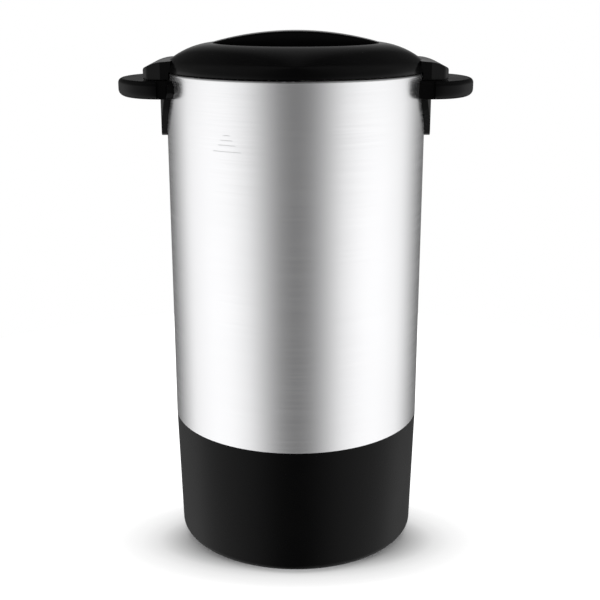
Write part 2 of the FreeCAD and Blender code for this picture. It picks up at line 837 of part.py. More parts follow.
def make_lid_shell():
    """Dome, finger recess, curled edge and the two catch ears of the lid."""
    (edge, shoulder, ring) = lid_shoulder
    wall = lid_wall
    inner_ring = recess_radius - 3.0
    outside = [
        (body_radius, rim + 0.2), (body_radius - 1.2, rim + 5.0, "arc"), (edge[0], rim + edge[1]),
        (shoulder[0], rim + shoulder[1], "arc"), (ring[0], rim + ring[1]),
        (inner_ring, rim + 17.5, "arc"), (recess_floor_radius + 2.5, rim + recess_floor + 3.0),
        (recess_floor_radius, rim + recess_floor + 0.8, "arc"), (recess_floor_radius - 3.5, rim + recess_floor),
        (0, rim + recess_floor), (0, rim + recess_floor - wall), (recess_floor_radius - 1, rim + recess_floor - wall),
        (recess_floor_radius + 5.0, rim + recess_floor + 1.0),
        (recess_radius - wall + 1.5, rim + ring[1] - wall - 1.5),
        (shoulder[0] - 1.0, rim + shoulder[1] - wall, "arc"), (edge[0] - 2.4, rim + edge[1] - 2.0),
        (body_radius - wall, rim + 0.2 + seal_height)]
    outside.append((body_radius - wall, rim + 0.2))
    dome = turned(outside)
    seal_ceiling = rim + seal_height + 0.3
    under_dome = turned([(0, rim - 10), (body_radius - 1.2, rim - 10), (body_radius - 1.2, rim + 4.0),
                         (edge[0] - 0.6, rim + edge[1] - 0.6), (0, rim + edge[1] - 0.6)])
    ledge = tube(body_radius - lid_wall + 0.6, seal_inner - 0.6, seal_ceiling, seal_ceiling + 2.2).common(under_dome)
    locator = tube(seal_inner - 0.4, seal_inner - 2.4, rim - 6.0, rim + edge[1] - 0.8)
    dome = united(dome, ledge, locator)
    ear = make_ear()
    dome = united(dome, ear, spun(ear, 180))
    holes = [cylinder(vent_hole_radius, rim - 4, rim + 6, y=30.0), cylinder(vent_hole_radius, rim - 4, rim + 6, y=-30.0)]
    for side in (-1, 1):
        holes.append(cylinder(handle_screw_radius + screw_gap, rim - 4, rim + 6, x=side * 30.0))
    return dome.cut(holes)


def make_ear():
    """Catch ear towards +X: sloping top, upright end, and a lug with a wider toe."""
    low = rim + ear_bottom
    root = body_radius - 7
    wide = ear_root_half + 6
    side_points = [(root, -wide, rim + 4.0), (root, -wide, rim + 8.4), (body_radius - 2, -wide, rim + 7.9),
                   (body_radius + 6, -wide, rim + 6.6, "arc"), (ear_reach - 2.0, -wide, rim + 3.9),
                   (ear_reach - 0.5, -wide, rim + 2.8, "arc"), (ear_reach, -wide, rim + 1.0),
                   (ear_reach, -wide, low), (root, -wide, low)]
    slab = prism(side_points, V(0, 2 * wide, 0))
    inner = body_radius - 10
    front = body_radius + 1
    plan = [(inner, -ear_root_half, low - 1), (front, -ear_root_half, low - 1), (ear_reach - 3, -ear_tip_half - 2.5, low - 1),
            (ear_reach + 1, -ear_tip_half + 3, low - 1), (ear_reach + 1, ear_tip_half - 3, low - 1),
            (ear_reach - 3, ear_tip_half + 2.5, low - 1), (front, ear_root_half, low - 1), (inner, ear_root_half, low - 1)]
    column = prism(plan, V(0, 0, 20))
    uprights = edges_where(column, lambda e: e.BoundBox.ZLength > 15 and e.BoundBox.XMin > front + 4)
    column = column.makeFillet(3.0, uprights)
    ear = slab.common(column)
    ear = ear.cut(cylinder(body_radius + 0.6, low - 2, rim + 0.2))
    ear = ear.cut(cylinder(body_radius - 1.6, rim - 1, rim + 5.2))
    hollow = prism([(front + 0.5, -ear_root_half + 3, low - 1), (ear_reach - 3, -ear_tip_half + 1, low - 1),
                    (ear_reach - 3, ear_tip_half - 1, low - 1), (front + 0.5, ear_root_half - 3, low - 1)], V(0, 0, 4.2))
    ear = ear.cut(hollow)
    stem = sector(lug_inner, lug_outer, rim + toe_bottom, rim - 0.5, -lug_half_angle, lug_half_angle)
    toe = sector(toe_inner, toe_outer, rim + toe_bottom, rim + toe_top, -lug_half_angle, lug_half_angle)
    return united(ear, stem, toe)


def grip_arc(offset):
    """Points of the grip's crowned top, from -X to +X, lowered by an offset."""
    half = recess_radius - 1.0
    return [(-half, rim + grip_end_height - offset), (0, rim + grip_crown - offset), (half, rim + grip_end_height - offset)]


def make_lid_grip():
    """Bridge grip across the recess: crowned bar, hollow below, with two screw bosses."""
    left, crown, right = grip_arc(0)
    depth = -grip_half_width
    floor = rim + recess_floor
    foot = recess_floor_radius - 4.0
    points = [(left[0], depth, left[1]), (crown[0], depth, crown[1], "arc"), (right[0], depth, right[1]),
              (right[0] - 2.6, depth, rim + 15.0), (foot, depth, floor), (-foot, depth, floor), (left[0] + 2.6, depth, rim + 15.0)]
    bar = prism(points, V(0, 2 * grip_half_width, 0))
    long_edges = edges_where(bar, lambda e: e.BoundBox.XLength > 100 and e.BoundBox.ZLength > 5)
    bar = bar.makeFillet(1.6, long_edges)
    bar = bar.cut(make_lid_shell())
    left, crown, right = grip_arc(grip_wall)
    inner_points = [(-44, depth + grip_wall, rim + 22.0 - grip_wall), (0, depth + grip_wall, crown[1], "arc"),
                    (44, depth + grip_wall, rim + 22.0 - grip_wall),
                    (40, depth + grip_wall, floor - 1), (-40, depth + grip_wall, floor - 1)]
    hollow = prism(inner_points, V(0, 2 * (grip_half_width - grip_wall), 0))
    bosses = []
    pilots = []
    for side in (-1, 1):
        bosses.append(cylinder(4.5, floor, rim + 22.0, x=side * 30.0))
        pilots.append(cylinder(handle_screw_radius + screw_gap, floor - 1, floor + 12, x=side * 30.0))
    return united(bar.cut(hollow), *bosses).cut(pilots)


def make_grip_screws():
    screws = []
    for side in (-1, 1):
        seat = V(side * 30.0, 0, rim + recess_floor - lid_wall)
        screws.append(screw(handle_screw_radius, handle_screw_head, 2.0, 12, seat, UP))
    return group(screws)


def make_lid_seal():
    """Soft ring that rides in the lid and rests on the tank's curled rim."""
    return turned([(seal_inner, rim), (seal_outer, rim), (seal_outer, rim + seal_height),
                   (seal_inner, rim + seal_height)])


def handle_bracket():
    """Shield-shaped mounting wall against the tank, with the catch block on one side."""
    face = handle_centre - 12
    points = [(-36.4, handle_top), (39.0, handle_top), (44.2, -8.6), (44.2, -14.2), (39.6, -19.0), (35.4, -19.4),
              (29.6, -28.0), (10.5, -47.8), (0.0, -50.4, "arc"), (-10.5, -47.8), (-29.6, -28.0), (-35.4, -19.4)]
    spatial = [(face, p[0], rim + p[1]) + tuple(p[2:]) for p in points]
    slab = prism(spatial, V(30, 0, 0))
    shell = slab.common(tube(body_radius + bracket_gap + bracket_thickness, body_radius + bracket_gap,
                             rim - 60, rim + 5))
    return shell


def make_handle(side_angle):
    """Moulded carrying handle: grip plate, mounting bracket, catch pocket and finger hollow."""
    low = rim + handle_underside
    high = rim + handle_top
    plan = Part.Ellipse(V(handle_centre, handle_half_width, low), V(handle_centre + handle_reach, 0, low),
                        V(handle_centre, 0, low))
    grip = Part.Face(Part.Wire(plan.toShape())).extrude(V(0, 0, high - low))
    grip = grip.makeFillet(handle_top_round, level_edges(grip, high))
    grip = grip.makeFillet(handle_bottom_round, level_edges(grip, low))
    grip = grip.cut(cylinder(body_radius + bracket_gap, low - 1, high + 1))
    back = body_radius - 10
    side = handle_half_width - 4.5
    far = handle_centre + handle_reach + 10
    wide = handle_half_width + 15
    step = handle_centre + 1
    keep = prism([(back, -side, low - 1), (step, -side, low - 1), (step, -wide, low - 1), (far, -wide, low - 1),
                  (far, wide, low - 1), (step, wide, low - 1), (step, side, low - 1), (back, side, low - 1)],
                 V(0, 0, 40))
    grip = grip.common(keep)
    solid = united(grip, handle_bracket())
    pocket_floor = rim + toe_bottom - 1.5
    entry = (-lug_half_angle - lug_slack_angle, lug_half_angle + lug_slack_angle)
    travel_end = lug_half_angle + lid_turn_angle + lug_slack_angle
    roof = high - catch_roof
    cuts = [sector(toe_inner - lug_slack, toe_outer + lug_slack, pocket_floor, high + 1, *entry),
            sector(toe_inner - lug_slack, toe_outer + lug_slack, pocket_floor, roof, entry[0], travel_end),
            sector(lug_inner - lug_slack, lug_outer + lug_slack, pocket_floor, high + 1, entry[0], travel_end)]
    cuts.append(finger_hollow())
    for (across, drop), bite in zip(handle_screw_spots, handle_screw_bite):
        cuts.append(rod(handle_screw_radius + screw_gap, V(body_radius - 4, across, rim + drop), V(1, 0, 0),
                        bite + 4.3))
    return spun(solid.cut(cuts), side_angle)


def finger_hollow():
    """Coring under the grip plate, round which the fingers curl."""
    low = rim + handle_underside
    reach = handle_reach - hollow_wall
    half = handle_half_width - hollow_wall
    disc = Part.Ellipse(V(handle_centre, half, low - 1), V(handle_centre + reach, 0, low - 1),
                        V(handle_centre, 0, low - 1)).toShape()
    solid = Part.Face(Part.Wire(disc)).extrude(V(0, 0, rim + hollow_top - low + 1))
    return solid.common(box((hollow_start, -half - 5, low - 2), (handle_centre + handle_reach, half + 5, rim)))


def make_handle_screws(with_washers):
    """Screws from inside the tank into both handles, or the washers under their heads."""
    pieces = []
    wall = tube(body_radius + 20, tank_inner, rim - 60, rim)
    for side in (0, 180):
        for (across, drop), bite in zip(handle_screw_spots, handle_screw_bite):
            seat_x = math.sqrt(tank_inner ** 2 - (abs(across) + handle_screw_head) ** 2) - sealing_washer
            seat = V(seat_x, across, rim + drop)
            if with_washers:
                washer = rod(handle_screw_head, seat, V(1, 0, 0), sealing_washer + 3)
                washer = washer.cut([wall, rod(handle_screw_radius + screw_gap, seat - V(1, 0, 0), V(1, 0, 0), 8)])
                pieces.append(spun(washer, side))
            else:
                length = body_radius + bite - seat_x
                one = screw(handle_screw_radius, handle_screw_head, 2.0, length, seat, V(1, 0, 0))
                pieces.append(spun(one, side))
    return group(pieces)


def make_tap_body():
    """Tap casting: threaded shank, flange, arm, gauge collar, valve chamber and spout."""
    flange_back = -(body_radius + tap_gasket_thickness)
    shank = rod(shank_radius, V(0, -tank_inner + shank_inside, tap_z), FRONT, shank_inside + tank_wall + 6)
    flange = rod(tap_flange_radius, V(0, flange_back, tap_z), FRONT, tap_flange_thickness)
    arm = rod(tap_arm_radius, V(0, flange_back, tap_z), FRONT, valve_reach - tap_gasket_thickness)
    chamber = cylinder(chamber_radius, seat_z - 5, chamber_top, y=valve_y)
    funnel = Part.makeCone(spout_radius, chamber_radius, 7, V(0, valve_y, seat_z - 12))
    spout = cylinder(spout_radius, spout_z, seat_z - 12, y=valve_y)
    collar = cylinder(collar_radius, tap_z, collar_top, y=gauge_y)
    solid = united(shank, flange, arm, chamber, funnel, spout, collar)
    bores = [rod(shank_bore, V(0, -tank_inner + shank_inside + 1, tap_z), FRONT, -valve_y - tank_inner + shank_inside + 3),
             cylinder(chamber_bore, seat_z, chamber_top + 1, y=valve_y),
             cylinder(spout_bore, spout_z - 1, seat_z + 1, y=valve_y),
             cylinder(glass_radius - glass_wall, tap_z, gauge_socket + 1, y=gauge_y),
             cylinder(glass_radius + gauge_seal_wall + screw_gap, gauge_socket, collar_top + 1, y=gauge_y)]
    return solid.cut(bores)


def make_tap_gasket():
    """Silicone gasket between the tank and the tap flange, moulded to the tank's curve."""
    start = V(0, -body_radius + 3, tap_z)
    ring = rod(tap_flange_radius - 0.5, start, FRONT, 3 + tap_gasket_thickness)
    return ring.cut([cylinder(body_radius, tap_z - 30, tap_z + 30),
                     rod(shank_radius + screw_gap, start + V(0, 5, 0), FRONT, 30)])


def make_tap_washer():
    """Inner sealing washer between the tank wall and the tap's nut."""
    start = V(0, -tank_inner + 2.6, tap_z)
    ring = rod(12.0, start, FRONT, 4)
    outside = tube(body_radius + 20, tank_inner, tap_z - 30, tap_z + 30)
    return ring.cut([outside, rod(shank_radius + screw_gap, start + V(0, 5, 0), FRONT, 30)])


def make_tap_nut():
    back = V(0, -tank_inner + 2.6 + tap_nut_thickness, tap_z)
    nut = hexagon(tap_nut_flats, tap_nut_thickness, back, FRONT)
    return nut.cut(rod(shank_radius + screw_gap, back + V(0, 5, 0), FRONT, 30))


def make_tap_bonnet():
    """Ribbed cap of the valve chamber, with two ears that carry the lever's pin."""
    low = chamber_top - bonnet_overlap
    cap = cylinder(bonnet_radius, low, bonnet_top, y=valve_y)
    cap = cap.makeFillet(1.4, edges_where(cap, lambda e: e.isClosed() and e.BoundBox.ZMin > bonnet_top - 0.1))
    ribs = []
    for index in range(bonnet_rib_count):
        flute = cylinder(1.3, low - 1, bonnet_top - 3, x=bonnet_radius + 0.6)
        flute.rotate(ORIGIN, UP, index * 360.0 / bonnet_rib_count)
        flute.translate(V(0, valve_y, 0))
        ribs.append(flute)
    inner = cylinder(chamber_radius + screw_gap, low - 1, chamber_top + screw_gap, y=valve_y)
    cavity = cylinder(chamber_bore, chamber_top, bonnet_top - bonnet_plate, y=valve_y)
    stem_hole = cylinder(stem_radius + running_gap, low, bonnet_top + 1, y=valve_y)
    cap = cap.cut(ribs + [inner, cavity, stem_hole])
    ears = []
    for side in (-1, 1):
        inner_x = side * (lever_half_width + seat_gap)
        outer_x = side * (lever_half_width + seat_gap + lever_ear)
        x0 = min(inner_x, outer_x)
        points = [(x0, lever_pivot_y - 4.5, bonnet_top - 1), (x0, lever_pivot_y - 4.5, lever_pivot_z),
                  (x0, lever_pivot_y, lever_pivot_z + 4.5, "arc"), (x0, lever_pivot_y + 4.5, lever_pivot_z),
                  (x0, lever_pivot_y + 8.0, bonnet_top - 1)]
        ears.append(prism(points, V(lever_ear, 0, 0)))
    pin_hole = rod(lever_pin_radius + screw_gap, V(-20, lever_pivot_y, lever_pivot_z), V(1, 0, 0), 40)
    return united(cap, *ears).cut(pin_hole)


def make_lever():
    """Tap lever: pivot hub, fork round the stem's cross pin, and a waisted paddle."""
    half = lever_half_width
    pivot = V(0, lever_pivot_y, lever_pivot_z)
    hub = rod(lever_hub_radius, pivot - V(half, 0, 0), V(1, 0, 0), 2 * half)
    fork_end = lever_pivot_y + lever_offset + cross_pin_radius + 2.2
    fork = box((-half, lever_pivot_y, lever_pivot_z - 3.6), (half, fork_end, lever_pivot_z + 3.6))
    fork = fork.makeFillet(1.5, edges_where(fork, lambda e: e.BoundBox.XLength > 8 and e.BoundBox.YMax > fork_end - 0.1))
    tip_half = 8.5
    plan = [(-half, 0, -2.6), (-half, -8, -2.6), (-tip_half, -lever_length + 8, -2.6), (0, -lever_length, -2.6, "arc"),
            (tip_half, -lever_length + 8, -2.6), (half, -8, -2.6), (half, 0, -2.6)]
    paddle = prism(plan, V(0, 0, 5.2))
    paddle = paddle.makeFillet(1.8, edges_where(paddle, lambda e: e.BoundBox.YMax < -7.9 and e.BoundBox.ZLength < 0.01))
    dish = Part.makeSphere(40, V(0, -lever_length + 10, 40 + 1.4))
    paddle = paddle.cut(dish)
    paddle.rotate(ORIGIN, V(1, 0, 0), -lever_tilt)
    paddle.translate(pivot)
    solid = united(hub, fork, paddle)
    slot_half = cross_pin_radius + cross_slot
    slot_y = lever_pivot_y + lever_offset
    slot = box((-half - 1, slot_y - 2.2, lever_pivot_z - slot_half), (half + 1, fork_end + 1, lever_pivot_z + slot_half))
    throat = box((-stem_radius - 0.5, slot_y - stem_radius - 1.8, lever_pivot_z - 6),
                 (stem_radius + 0.5, fork_end + 1, lever_pivot_z + 6))
    bore = rod(lever_pin_radius + running_gap, pivot - V(half + 1, 0, 0), V(1, 0, 0), 2 * half + 2)
    return solid.cut([slot, throat, bore])


def make_lever_pin():
    reach = lever_half_width + seat_gap + lever_ear
    pin = rod(lever_pin_radius, V(-reach - 0.4, lever_pivot_y, lever_pivot_z), V(1, 0, 0), 2 * reach + 0.4)
    head = rod(lever_pin_radius + 1.0, V(reach, lever_pivot_y, lever_pivot_z), V(1, 0, 0), 1.0)
    return united(pin, head)


def plunger_bottom():
    return seat_z + 0.2


def make_plunger():
    """Valve stem: seal spigot, spring flange and the cross pin that the lever lifts."""
    flange_z = plunger_bottom() + tap_seal_height
    spigot = cylinder(2.6, plunger_bottom() + 1.2, flange_z, y=valve_y)
    flange = cylinder(plunger_flange_radius, flange_z, flange_z + 1.6, y=valve_y)
    stem = cylinder(stem_radius, flange_z, lever_pivot_z + 2.0, y=valve_y)
    half = lever_half_width - 0.4
    cross = rod(cross_pin_radius, V(-half, valve_y, lever_pivot_z), V(1, 0, 0), 2 * half)
    return united(spigot, flange, stem, cross)


def make_tap_seal():
    """Silicone cup that closes the seat."""
    low = plunger_bottom()
    cup = cylinder(tap_seal_radius, low, low + tap_seal_height, y=valve_y)
    cup = cup.makeFillet(0.8, edges_where(cup, lambda e: e.isClosed() and e.BoundBox.ZMax < low + 0.1))
    return cup.cut(cylinder(2.6 + screw_gap, low + 1.2, low + 6, y=valve_y))


def spring_span():
    low = plunger_bottom() + tap_seal_height + 1.6
    return low, bonnet_top - bonnet_plate


def make_tap_spring():
    """Closing spring between the plunger's flange and the bonnet, as its outer and inner form."""
    low, high = spring_span()
    return tube(spring_radius + spring_wire, spring_radius - spring_wire, low + 0.05, high - 0.05, y=valve_y)


def make_gauge_glass():
    return tube(glass_radius, glass_radius - glass_wall, gauge_socket + seat_gap, gauge_cap_bottom + 9, y=gauge_y)


def make_gauge_seal():
    """Sleeve that seals the glass in its collar."""
    return tube(glass_radius + gauge_seal_wall, glass_radius + 0.02, gauge_socket + seat_gap, collar_top - 1.0, y=gauge_y)


def make_gauge_guard():
    """Steel channel that shields the glass, open towards the front."""
    low = collar_top + 0.05
    high = gauge_cap_bottom - 0.05
    half = guard_open_angle / 2
    shell = sector(guard_radius - guard_wall, guard_radius, low, high, -90 + half, 270 - half)
    lips = []
    for side in (-1, 1):
        angle = math.radians(-90 + side * half)
        x = (guard_radius - guard_wall / 2) * math.cos(angle)
        y = (guard_radius - guard_wall / 2) * math.sin(angle)
        lips.append(cylinder(guard_wall * 0.9, low, high, x, y))
    guard = united(shell, *lips)
    guard.translate(V(0, gauge_y, 0))
    return guard


def make_gauge_cap():
    """Top holder of the glass, screwed to the tank."""
    high = gauge_cap_bottom + gauge_cap_height
    head = cylinder(gauge_cap_radius, gauge_cap_bottom, high, y=gauge_y)
    head = head.makeFillet(3.0, edges_where(head, lambda e: e.isClosed() and e.BoundBox.ZMin > high - 0.1))
    neck = box((-7, gauge_y, gauge_cap_bottom + 5), (7, -body_radius + 2, high - 3))
    bore = cylinder(glass_radius + screw_gap, gauge_cap_bottom - 1, gauge_cap_bottom + 9.5, y=gauge_y)
    pilot = rod(m4_radius + screw_gap, V(0, -body_radius + 3, gauge_screw_z), FRONT, 11.5)
    return united(head, neck).cut([cylinder(body_radius + 0.05, gauge_cap_bottom - 5, high + 5), bore, pilot])


def make_gauge_screw():
    seat = V(0, -tank_inner + 0.2, gauge_screw_z)
    return screw(m4_radius, m4_head_radius, m4_head_height, 9.5, seat, FRONT)


def make_pump_foot():
    """Bell foot that stands in the heating well and gathers the steam under it."""
    base = well_floor + 0.1
    disc = foot_disc_radius
    points = [(disc, base), (disc, base + 2), (pump_valve_radius + 2.5, base + foot_disc_height),
              (pump_valve_radius + 2.5, base + foot_disc_height + 5.5), (tube_radius + screw_gap, base + foot_disc_height + 5.5),
              (tube_radius + screw_gap, base + foot_disc_height + 4.3),
              (pump_valve_radius + 0.5, base + foot_disc_height + 4.3),
              (pump_valve_radius + 0.5, base + foot_disc_height - 0.4), (3.0, base + foot_disc_height - 0.4),
              (3.0, base + foot_disc_height - 1.6), (pump_valve_radius, base + foot_disc_height - 1.6), (disc - 1.4, base + 1.2),
              (disc - 1.4, base)]
    bell = turned(points)
    slots = []
    for angle in (0, 60, 120, 180, 240, 300):
        slots.append(spun(box((disc - 4, -2.5, base - 1), (disc + 2, 2.5, base + 1.4)), angle))
    return bell.cut(slots)


def make_pump_valve():
    """Loose washer that lets water in under the tube and shuts when steam pushes back."""
    seat = well_floor + 0.1 + foot_disc_height - 0.4
    return cylinder(pump_valve_radius, seat + 0.1, seat + 0.1 + pump_valve_thickness)


def make_pump_tube():
    """Riser tube with the stop that carries the basket."""
    low = well_floor + 0.1 + foot_disc_height + 4.3
    stem = tube(tube_radius, tube_radius - tube_wall, low, tube_top)
    stop = tube(stop_radius, tube_radius - 0.2, basket_bottom - stop_height - 0.1, basket_bottom - 0.1)
    return united(stem, stop)


def hole_rows(counts, circles, bottom, top, radius):
    holes = []
    for count, circle in zip(counts, circles):
        for index in range(count):
            holes.append(spun(cylinder(radius, bottom, top, x=circle), 360.0 * index / count))
    return holes


def make_basket():
    """Perforated grounds basket with a centre sleeve and a rolled lip."""
    wall = basket_wall
    sleeve = tube_radius + running_gap
    round_in = 4.0
    bend = math.sqrt(0.5)
    points = [
        (sleeve, basket_bottom), (basket_radius - round_in, basket_bottom),
        (basket_radius - round_in + round_in * bend, basket_bottom + round_in - round_in * bend, "arc"),
        (basket_radius, basket_bottom + round_in), (basket_radius, basket_top - 1.6),
        (basket_radius + 0.8, basket_top - 0.8, "arc"), (basket_radius, basket_top),
        (basket_radius - wall, basket_top - 0.8), (basket_radius - wall, basket_bottom + round_in),
        (basket_radius - round_in + (round_in - wall) * bend, basket_bottom + round_in - (round_in - wall) * bend, "arc"),
        (basket_radius - round_in, basket_bottom + wall), (sleeve + wall + 2, basket_bottom + wall),
        (sleeve + wall, basket_bottom + wall + 2), (sleeve + wall, basket_top - 6), (sleeve, basket_top - 6)]
    shell = turned(points)
    return shell.cut(hole_rows(basket_hole_counts, basket_hole_circles, basket_bottom - 1, basket_bottom + 2, basket_hole_radius))


def make_basket_cover():
    """Spreader cover that lies on the basket's lip, with a raised edge and a centre collar."""
    low = basket_top + 0.1
    wall = basket_wall
    sleeve = tube_radius + running_gap
    points = [(sleeve, low + 1.2), (12.0, low), (basket_radius + 1.2, low), (basket_radius + 1.2, low + 5),
              (basket_radius + 0.4, low + 5), (basket_radius + 0.4, low + wall), (12.0, low + wall),
              (sleeve + wall, low + 1.2 + wall), (sleeve + wall, low + 5), (sleeve, low + 5)]
    disc = turned(points)
    return disc.cut(hole_rows(cover_hole_counts, cover_hole_circles, low - 1, low + 3, basket_hole_radius))


PIECES = {
    "tank": make_tank,
    "tank_studs": make_weld_studs,
    "tank_weld_nuts": make_weld_nuts,
    "base_skirt": make_base,
    "base_screws": make_base_screws,
    "bottom_cover": make_bottom_cover,
    "cover_screws": make_cover_screws,
    "rubber_feet": make_feet,
    "heater_plate": make_heater_plate,
    "brew_element": make_brew_element,
    "heater_clamp": make_heater_clamp,
    "clamp_nuts": make_clamp_nuts,
    "keep_warm_band": make_warm_band,
    "band_screw": make_band_screw,
    "thermostat": make_thermostat,
    "thermostat_clip": make_thermostat_clip,
    "thermal_fuse": make_thermal_fuse,
    "fuse_clip": make_fuse_clip,
    "terminal_block": make_terminal_block,
    "inner_leads": make_leads,
    "switch_bezel": make_switch_bezel,
    "switch_rocker": make_rocker,
    "indicator_lenses": make_lenses,
    "indicator_lamps": make_lamps,
    "power_inlet": make_inlet,
    "inlet_pins": make_inlet_pins,
    "inlet_screws": make_inlet_screws,
    "handle_left": lambda: make_handle(0),
    "handle_right": lambda: make_handle(180),
    "handle_screws": lambda: make_handle_screws(False),
    "handle_washers": lambda: make_handle_screws(True),
    "tap_body": make_tap_body,
    "tap_gasket": make_tap_gasket,
    "tap_washer": make_tap_washer,
    "tap_nut": make_tap_nut,
    "tap_bonnet": make_tap_bonnet,
    "tap_lever": make_lever,
    "lever_pin": make_lever_pin,
    "tap_plunger": make_plunger,
    "tap_seal": make_tap_seal,
    "tap_spring": make_tap_spring,
    "gauge_glass": make_gauge_glass,
    "gauge_seal": make_gauge_seal,
    "gauge_guard": make_gauge_guard,
    "gauge_cap": make_gauge_cap,
    "gauge_screw": make_gauge_screw,
    "lid_shell": make_lid_shell,
    "lid_grip": make_lid_grip,
    "grip_screws": make_grip_screws,
    "lid_seal": make_lid_seal,
    "pump_foot": make_pump_foot,
    "pump_valve": make_pump_valve,
    "pump_tube": make_pump_tube,
    "coffee_basket": make_basket,
    "basket_cover": make_basket_cover,
}

os.makedirs("parts", exist_ok=True)
for name, make in PIECES.items():
    shape = make()
    shape.exportStep("parts/" + name + ".step")
    box_size = shape.BoundBox
    print(name, len(shape.Solids), shape.isValid(), round(shape.Volume, 1),
          [round(value, 1) for value in (box_size.XMin, box_size.YMin, box_size.ZMin,
                                         box_size.XMax, box_size.YMax, box_size.ZMax)])
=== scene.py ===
"""Finish, light and camera for a percolating coffee urn."""
import bmesh
import bpy
import json
import math
from mathutils import Matrix, Vector


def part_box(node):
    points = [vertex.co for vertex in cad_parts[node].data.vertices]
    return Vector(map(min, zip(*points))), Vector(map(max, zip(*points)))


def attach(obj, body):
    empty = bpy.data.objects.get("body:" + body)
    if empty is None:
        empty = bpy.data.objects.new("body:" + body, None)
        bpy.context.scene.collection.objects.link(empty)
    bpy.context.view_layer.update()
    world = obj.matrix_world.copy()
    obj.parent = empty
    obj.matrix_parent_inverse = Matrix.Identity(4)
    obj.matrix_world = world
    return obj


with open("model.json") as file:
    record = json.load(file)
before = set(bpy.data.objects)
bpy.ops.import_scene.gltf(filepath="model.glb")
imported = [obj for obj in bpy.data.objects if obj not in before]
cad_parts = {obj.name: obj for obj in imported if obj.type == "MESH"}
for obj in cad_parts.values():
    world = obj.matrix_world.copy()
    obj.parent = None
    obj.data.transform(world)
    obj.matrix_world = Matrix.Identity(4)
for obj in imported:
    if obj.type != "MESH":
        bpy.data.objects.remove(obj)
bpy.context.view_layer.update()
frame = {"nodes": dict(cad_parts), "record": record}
NODES = frame["nodes"]
RECORD = frame["record"]
MM = 0.001

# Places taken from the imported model
WALL_TO_RIM = 0.3 * MM
tank_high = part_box("tank")[1]
BODY_RADIUS = tank_high.x
RIM = tank_high.z + WALL_TO_RIM

# Camera, in units of the tank's radius as seen from its rim
CAMERA_DISTANCE = 8.372
CAMERA_RISE = 0.623
CAMERA_PITCH = math.radians(16.52)
CAMERA_YAW = math.radians(0.22)
CAMERA_LENS = 63.68
SENSOR_WIDTH = 36.0
VIEW_NEAR = 0.05
VIEW_FAR = 20.0

# Sizes of the pieces added here
MARK_ANGLES = (54.0, 67.0)
MARK_DROP = 51.0 * MM
MARK_HEIGHT = 1.3 * MM
MARK_PROUD = 0.16 * MM
TICK_DROPS = (39.5 * MM, 43.0 * MM, 46.5 * MM)
TICK_SPANS = (3.0, 5.5, 8.0)
WELD_DISTANCE = 1e-6
SHARP_ANGLE = math.radians(35)

# How bright the surround is at each angle from the camera's side, as shares of a half turn
SURROUND = (
    (0.0, 0.18), (0.07, 0.26), (0.13, 0.48), (0.24, 0.98), (0.34, 1.18), (0.45, 1.2),
    (0.60, 1.06), (0.68, 0.68), (0.74, 0.42), (0.82, 0.20), (0.92, 0.12), (0.99, 0.6),
)
# What that is multiplied by at each height, from straight below to straight above
SURROUND_HEIGHT = (
    (0.0, 1.0), (0.44, 1.0), (0.52, 0.75), (0.60, 0.35), (0.72, 0.25), (0.85, 0.25), (1.0, 0.16),
)
# What rough surfaces are lit with
SURROUND_SOFT = 0.8

# Floor, with a painted shadow: an oval that the camera sees darker round the urn's foot
FLOOR_RADIUS = 0.62
FLOOR_SIDES = 96
FLOOR_COLOUR = 0.4
SHADOW_CENTRE = (0.0, 0.04, 0.0)
SHADOW_REACH = (0.194, 0.094, 1.0)
SHADOW_FADE = (
    (0.40, 0.02), (0.452, 0.05), (0.52, 0.23), (0.592, 0.43),
    (0.664, 0.53), (0.764, 0.61), (0.80, 0.66), (0.92, 0.85),
)

# Finishes
BLACK = (0.0016, 0.0016, 0.0017)
STEEL = (0.86, 0.86, 0.87)

# Sockets of a colour Mix node, which share their names and are told apart by number
MIX_FIRST = 6
MIX_SECOND = 7
MIXED = 2


